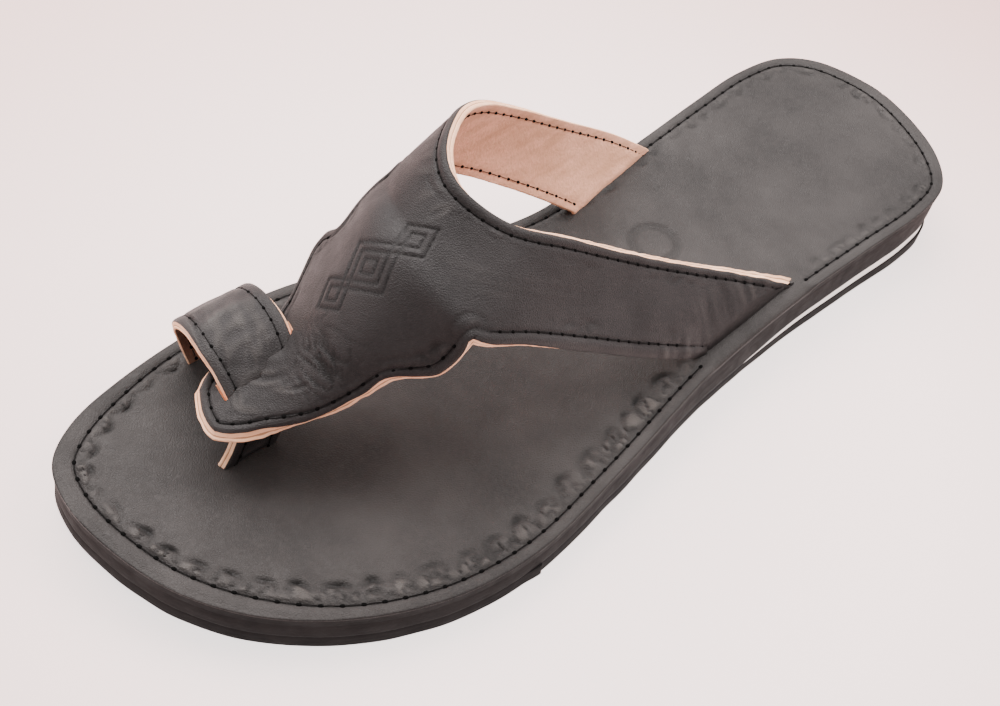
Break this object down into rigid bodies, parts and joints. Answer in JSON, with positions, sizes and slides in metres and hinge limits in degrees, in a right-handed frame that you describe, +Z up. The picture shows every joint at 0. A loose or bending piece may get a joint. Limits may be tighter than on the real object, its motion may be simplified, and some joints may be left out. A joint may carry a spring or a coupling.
{
  "type": "toe ring sandal",
  "caption": "Left leather sandal on a flat stitched sole, with a broad instep strap whose vamp narrows to a tip between the toes and a leather ring for the big toe.",
  "frame": {"origin": "on the floor, under the middle of the heel", "axes": "+Z up, -Y towards the toe, +X towards the outer side of the foot"},
  "size_m": [0.1044, 0.2926, 0.075],
  "materials": {
    "outsole_rubber": "matt, finely textured",
    "wedge_foam": "pale, matt",
    "midsole_rubber": "matt, trimmed flush",
    "insole_leather": "waxed grain, stitched round its edge",
    "upper_leather": "waxed grain with pale cut edges",
    "ring_leather": "waxed grain with pale cut edges"
  },
  "bodies": {
    "root": {"outsole": "outsole_rubber", "heel_wedge": "wedge_foam", "midsole": "midsole_rubber", "insole": "insole_leather", "upper": "upper_leather", "toe_ring": "ring_leather"}
  },
  "joints": []
}
